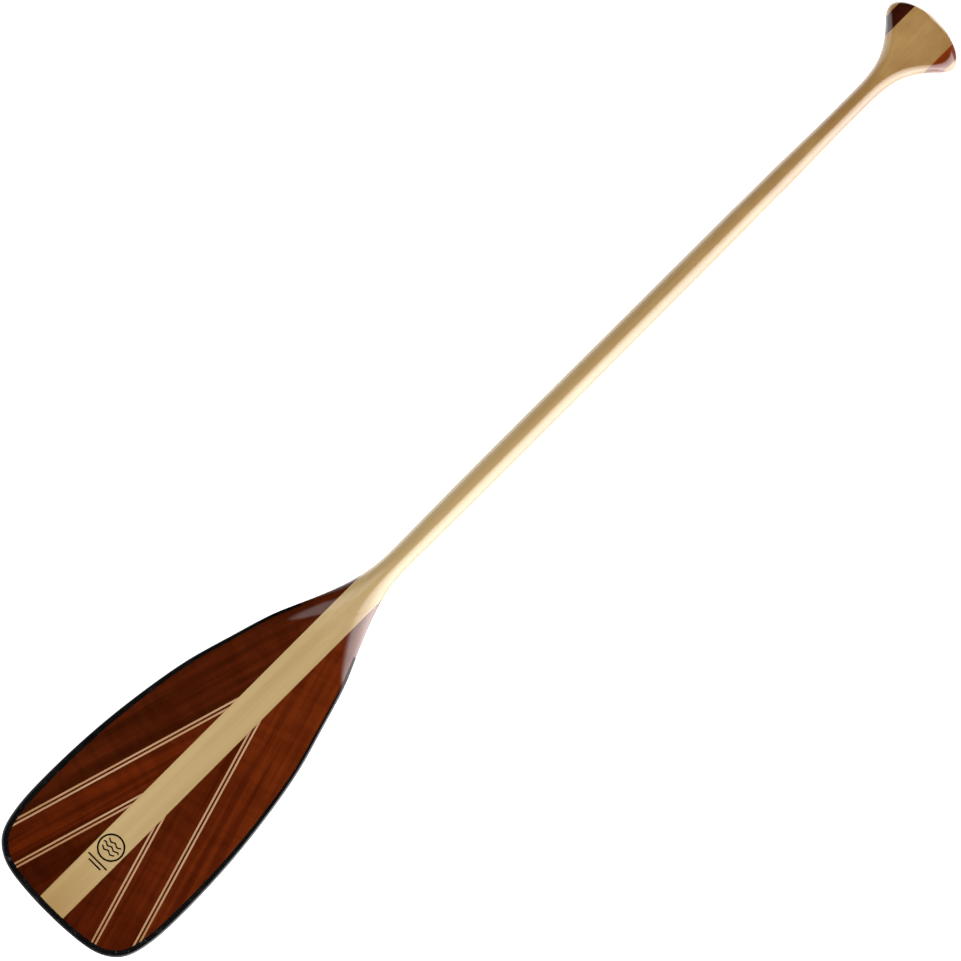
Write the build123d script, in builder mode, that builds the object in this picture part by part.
from build123d import *
import math
import os

# A single-bladed canoe paddle, lying on its back. X runs from the blade's tip to the top of
# the palm grip, Y across the blade, and +Z out of the blade's front face. The origin is on
# the ground below the middle of the paddle. Left is +Y: the left hand when the front face is
# looked at with the grip up. Sizes are in millimetres.

# ---- overall sizes
overall_length = 1320.0
blade_width = 204.4  # across the blade and its edge guard, at the widest place
blade_thickness = 7.0
flat_length = 375.0  # from the tip to where the ridge starts to rise
shoulder_width = 116.4  # across the blade where the flat ends
throat_length = 165.0  # over which the ridge grows into the shaft
widest_station = 98.0  # from the tip to the widest place

# ---- shaft
throat_width = 27.2  # across the shaft where it leaves the throat
shaft_width = 28.4  # across the middle of the shaft
shaft_depth = 33.0
upper_width = 26.8  # across the shaft where it starts to slim down
slimming_length = 130.0  # over which the shaft slims down to the neck
neck_width = 22.8  # across the neck under the grip
neck_depth = 28.5

# ---- palm grip
grip_length = 130.0  # from the neck to the top
grip_crown = 23.0  # from the widest place of the grip to its top
grip_width = 95.6
grip_depth = 28.0
pale_strip = 11.05  # thickness of the pale strips glued on beside the plies
dark_strip = 13.9  # thickness of the dark strips glued on next

# ---- laminations
spine_width = 33.7  # of the plies that run from the tip to the grip
inlay_angle = 16.5  # between the inlays and the spine, in degrees
pale_line = 2.0  # thickness of each pale line of an inlay
dark_line = 2.1  # thickness of the dark line between two pale ones
outer_inlay_station = 291.6  # from the tip to where the outer inlay meets the spine
inner_inlay_station = 150.0  # from the tip to where the inner inlay meets the spine

# ---- moulded edge guard
guard_width = 7.6  # at the tip
guard_end_width = 3.0  # at its ends, on the shoulders
guard_rounding = 2.2  # radius along its outer edges
guard_end_station = 417.0  # from the tip to its ends
guard_stops = 24  # steps along each side in which its inner edge is set out

# ---- shaping
side_flat = 6.0  # height of the flat that shaping leaves along the sides
face_flat = 5.0  # width of the flat that it leaves down the front and the back
most_side_flat = 1 / 3  # a small section's side flat, as a share of its depth, at most
feather = 0.3  # thickness of the ridge where it starts
ellipse = 0.5523  # handle of a curve that follows a quarter of an ellipse
grip_fullness = 0.72  # handle of the fuller curve round the edges of the grip
grip_flat = 62.0  # width of the flat across the grip at its widest

# ---- places that follow from the sizes
half_blade = blade_width / 2
half_plate = blade_thickness / 2
half_spine = spine_width / 2
half_depth = shaft_depth / 2
half_grip = grip_width / 2
ply = (half_depth - half_plate) / 2  # two plies build up each face of the core
tip_x = -overall_length / 2
top_x = overall_length / 2
flat_end = tip_x + flat_length
throat_end = flat_end + throat_length
guard_end = tip_x + guard_end_station
neck_x = top_x - grip_length
grip_widest_x = top_x - grip_crown
slimming_start = neck_x - slimming_length
middle = Plane((0, 0, half_depth))  # the back of the shaft lies on the ground
reach = overall_length + blade_width  # past the end of anything that it cuts
margin = 1.0  # how far a cut that follows no glue line runs past the wood

# ---- outlines, as shares of the sizes above
# (share of the way from the tip to the widest place, share of the half width)
TIP = [(0.021, 0.409), (0.1, 0.717), (0.253, 0.886), (0.49, 0.966)]
# (share of the way from the widest place to the end of the flat, share of the half width)
FLANK = [(0.275, 0.973), (0.545, 0.885), (0.725, 0.789), (0.877, 0.669)]
# (share of the throat, share left of the wings, share grown of the ridge)
THROAT = [
    (0.1, 0.869, 0.06),
    (0.2, 0.712, 0.16),
    (0.3, 0.55, 0.29),
    (0.45, 0.32, 0.51),
    (0.6, 0.135, 0.72),
    (0.77, 0.02, 0.9),
]
# (share of the slimming length, share of the change)
SLIMMING = [(0.12, 0.06), (0.38, 0.4), (0.62, 0.74), (0.86, 0.96)]
# (share of the way from the neck to the widest place of the grip, share of the flare)
FLARE = [
    (0.08, 0.0),
    (0.2, 0.004),
    (0.35, 0.03),
    (0.5, 0.115),
    (0.62, 0.26),
    (0.73, 0.475),
    (0.82, 0.7),
    (0.9, 0.91),
]
# (share of the crown's height below the top, share of the width, share of the depth)
CROWN = [
    (0.578, 0.875, 0.95),
    (0.3, 0.657, 0.8),
    (0.148, 0.45, 0.61),
    (0.05, 0.24, 0.39),
    (0.0, 0.09, 0.18),
]


def between(start, end, share):
    """The value that lies this share of the way from start to end."""
    return start + (end - start) * share


def blade_points():
    """Points up the left side of the blade, from the tip to where the throat starts, and on."""
    points = [(tip_x, 0)]
    for along, across in TIP:
        points.append((tip_x + along * widest_station, across * half_blade))
    points.append((tip_x + widest_station, half_blade))
    for along, across in FLANK:
        points.append((tip_x + between(widest_station, flat_length, along), across * half_blade))
    points.append((flat_end, shoulder_width / 2))
    for along, wings, _ in THROAT:
        half_width = between(throat_width, shoulder_width, wings) / 2
        points.append((flat_end + along * throat_length, half_width))
    return points


def guard_line():
    """Points on the glue line between guard and wood, up the left side and past its end."""
    with BuildLine() as side:
        Spline(*blade_points(), tangents=[(0, 1), (1, 0)], tangent_scalars=[1, 1])
    edge = side.edge()
    points = []
    for stop in range(guard_stops + 1):
        place = edge.position_at(stop / guard_stops)
        heading = edge.tangent_at(stop / guard_stops)
        past_widest = max(0, place.X - tip_x - widest_station)
        tapered = past_widest / (guard_end_station - widest_station)
        width = max(0, between(guard_width, guard_end_width, tapered))
        points.append((place.X + width * heading.Y, place.Y - width * heading.X))
    return points


def blade_face(points):
    """Sketch of a blade with this left side, mirrored and closed straight across its end."""
    with BuildSketch() as face:
        with BuildLine():
            Spline(*points, tangents=[(0, 1), (1, 0)], tangent_scalars=[1, 1])
            mirror(about=Plane.XZ)
            end_x, end_y = points[-1]
            Line((end_x, -end_y), (end_x, end_y))
        make_face()
    return face.sketch


def shaped_section(x, half_width, height, handle=ellipse, flat=face_flat / 2):
    """Section of the wood across X: a flat on each of four sides, with curves between. flat is
    half the width of the flat on the front, which the back repeats."""
    side = min(side_flat / 2, height * most_side_flat)
    with BuildSketch(Plane((x, 0, half_depth), x_dir=(0, 1, 0), z_dir=(1, 0, 0))) as section:
        with BuildLine():
            for front in (1, -1):
                Line((-flat, front * height), (flat, front * height))
            for left in (1, -1):
                edge = left * half_width
                Line((edge, -side), (edge, side))
                for front in (1, -1):
                    rise = front * between(side, height, handle)
                    top = front * height
                    over = left * between(flat, half_width, handle)
                    Bezier((edge, front * side), (edge, rise), (over, top), (left * flat, top))
        make_face()
    return section.sketch


# ---- the blank: all the wood, shaped, before it is divided into its laminations
throat_sections = [shaped_section(flat_end, shoulder_width / 2, half_plate + feather)]
for along, wings, ridge in THROAT:
    throat_sections.append(
        shaped_section(
            flat_end + along * throat_length,
            between(throat_width, shoulder_width, wings) / 2,
            between(half_plate, half_depth, ridge),
        )
    )
throat_sections.append(shaped_section(throat_end, throat_width / 2, half_depth))

shaft_sections = [
    throat_sections[-1],
    shaped_section((throat_end + slimming_start) / 2, shaft_width / 2, half_depth),
    shaped_section(slimming_start, upper_width / 2, half_depth),
]
slimming_sections = [shaft_sections[-1]]
for along, change in SLIMMING:
    slimming_sections.append(
        shaped_section(
            slimming_start + along * slimming_length,
            between(upper_width, neck_width, change) / 2,
            between(shaft_depth, neck_depth, change) / 2,
        )
    )
slimming_sections.append(shaped_section(neck_x, neck_width / 2, neck_depth / 2))

grip_sections = [slimming_sections[-1]]
for along, flare in FLARE:
    grip_sections.append(
        shaped_section(
            between(neck_x, grip_widest_x, along),
            between(neck_width, grip_width, flare) / 2,
            between(neck_depth, grip_depth, flare) / 2,
            between(ellipse, grip_fullness, flare),
            between(face_flat, grip_flat, flare) / 2,
        )
    )
grip_sections.append(
    shaped_section(grip_widest_x, grip_width / 2, grip_depth / 2, grip_fullness, grip_flat / 2)
)
for below, across, deep in CROWN:
    grip_sections.append(
        shaped_section(
            top_x - below * grip_crown,
            across * grip_width / 2,
            deep * grip_depth / 2,
            grip_fullness,
            across * grip_flat / 2,
        )
    )

with BuildPart() as plate:
    with BuildSketch(middle):
        add(blade_face(blade_points()))
    extrude(amount=half_plate, both=True)
    split(bisect_by=Plane((flat_end, 0, 0), z_dir=(-1, 0, 0)))

with BuildPart() as throat:
    loft(throat_sections)

with BuildPart() as shaft:
    loft(shaft_sections)

with BuildPart() as slimming:
    loft(slimming_sections)

with BuildPart() as grip:
    loft(grip_sections)

# what the guard takes the place of, round the outside of the glue line
with BuildPart() as guard_room:
    with BuildSketch(middle):
        with Locations((tip_x, 0)):
            Rectangle(2 * guard_end_station, 2 * blade_width)
        add(blade_face(guard_line()), mode=Mode.SUBTRACT)
    extrude(amount=shaft_depth, both=True)

with BuildPart() as blade_blank:
    add(plate.part)
    add(guard_room.part, mode=Mode.SUBTRACT)

with BuildPart() as blank:
    add(plate.part)
    add(throat.part)
    add(guard_room.part, mode=Mode.SUBTRACT)
    add(shaft.part)
    add(slimming.part)
    add(grip.part)


# ---- laminations: each is the part of the blank inside its own straight glue lines
os.makedirs("parts", exist_ok=True)


def plan(*corners):
    """Straight-sided outline in plan, drawn in the middle plane."""
    with BuildSketch(middle) as outline:
        with BuildLine():
            Polyline(*corners, close=True)
        make_face()
    return outline.sketch


def save(piece, name):
    """Label a finished piece and write it under its own name."""
    piece.part.label = name
    export_step(piece.part, f"parts/{name}.step")


# ---- the plies that run from the tip of the blade to the top of the grip
core_top = half_depth + half_plate
core_bottom = half_depth - half_plate
PLIES = [
    ("shaft_core_ply", core_bottom, core_top),
    ("shaft_front_ply", core_top, core_top + ply),
    ("shaft_front_face_ply", core_top + ply, shaft_depth + margin),
    ("shaft_rear_ply", core_bottom - ply, core_bottom),
    ("shaft_rear_face_ply", -margin, core_bottom - ply),
]
for name, bottom, top in PLIES:
    with BuildPart() as spine_ply:
        add(blank.part)
        with BuildSketch(Plane.XY.offset(bottom)):
            Rectangle(2 * reach, spine_width)
        extrude(amount=top - bottom, mode=Mode.INTERSECT)
    save(spine_ply, name)


# ---- blade laminations, each between two slanting glue lines
slant = math.radians(inlay_angle)
dark_half = dark_line / 2
inlay_half = dark_half + pale_line


def glue_line(inlay_station, offset, left):
    """The near and the far end of a slanting glue line; offset is its distance from the
    middle of the inlay, positive away from the tip."""
    start_x = tip_x + inlay_station + offset / math.sin(slant)
    near = (start_x, left * half_spine)
    far = (start_x - reach * math.cos(slant), left * (half_spine + reach * math.sin(slant)))
    return near, far


def inlay_pieces(inlay, inlay_station):
    """Name and two glue lines of the three pieces of one inlay."""
    return [
        (f"{inlay}_inlay_upper_pale", (inlay_station, inlay_half), (inlay_station, dark_half)),
        (f"{inlay}_inlay_dark", (inlay_station, dark_half), (inlay_station, -dark_half)),
        (f"{inlay}_inlay_lower_pale", (inlay_station, -dark_half), (inlay_station, -inlay_half)),
    ]


STRIPS = [
    *inlay_pieces("outer", outer_inlay_station),
    ("middle_panel", (outer_inlay_station, -inlay_half), (inner_inlay_station, inlay_half)),
    *inlay_pieces("inner", inner_inlay_station),
]

for side, left in (("left", 1), ("right", -1)):
    near, far = glue_line(outer_inlay_station, inlay_half, left)
    with BuildPart() as outer_panel:
        add(blank.part)
        region = plan(near, far, (throat_end, far[1]), (throat_end, near[1]))
        extrude(region, amount=shaft_depth, both=True, mode=Mode.INTERSECT)
    save(outer_panel, f"{side}_outer_panel")

    for name, upper, lower in STRIPS:
        upper_near, upper_far = glue_line(*upper, left)
        lower_near, lower_far = glue_line(*lower, left)
        with BuildPart() as strip:
            add(blade_blank.part)
            region = plan(upper_near, upper_far, lower_far, lower_near)
            extrude(region, amount=shaft_depth, both=True, mode=Mode.INTERSECT)
        save(strip, f"{side}_{name}")

    near, far = glue_line(inner_inlay_station, -inlay_half, left)
    with BuildPart() as inner_panel:
        add(blade_blank.part)
        region = plan(near, far, (far[0], near[1]))
        extrude(region, amount=shaft_depth, both=True, mode=Mode.INTERSECT)
    save(inner_panel, f"{side}_inner_panel")

# ---- strips that widen the grip, glued outward from the plies
dark_start = half_spine + pale_strip
tip_start = dark_start + dark_strip
GRIP_STRIPS = [
    ("grip_pale_block", half_spine, dark_start),
    ("grip_dark_block", dark_start, tip_start),
    ("grip_tip_block", tip_start, half_grip),
]
for side, left in (("left", 1), ("right", -1)):
    for name, inner, outer in GRIP_STRIPS:
        with BuildPart() as strip:
            add(grip.part)
            start, end = left * inner, left * outer
            region = plan((neck_x, start), (top_x, start), (top_x, end), (neck_x, end))
            extrude(region, amount=shaft_depth, both=True, mode=Mode.INTERSECT)
        save(strip, f"{side}_{name}")

# ---- the resin bead moulded round the edge of the blade
with BuildPart() as guard_core:
    with BuildSketch(middle):
        add(blade_face(guard_line()))
    extrude(amount=half_plate, both=True)

with BuildPart() as edge_guard:
    with BuildSketch(middle):
        add(blade_face(blade_points()))
    extrude(amount=half_plate, both=True)
    split(bisect_by=Plane((guard_end, 0, 0), z_dir=(-1, 0, 0)))
    outer_walls = edge_guard.faces().filter_by(Axis.Z, reverse=True).filter_by(GeomType.EXTRUSION)
    fillet(outer_walls.edges().filter_by(GeomType.BSPLINE), guard_rounding)
    add(guard_core.part, mode=Mode.SUBTRACT)
save(edge_guard, "edge_guard")
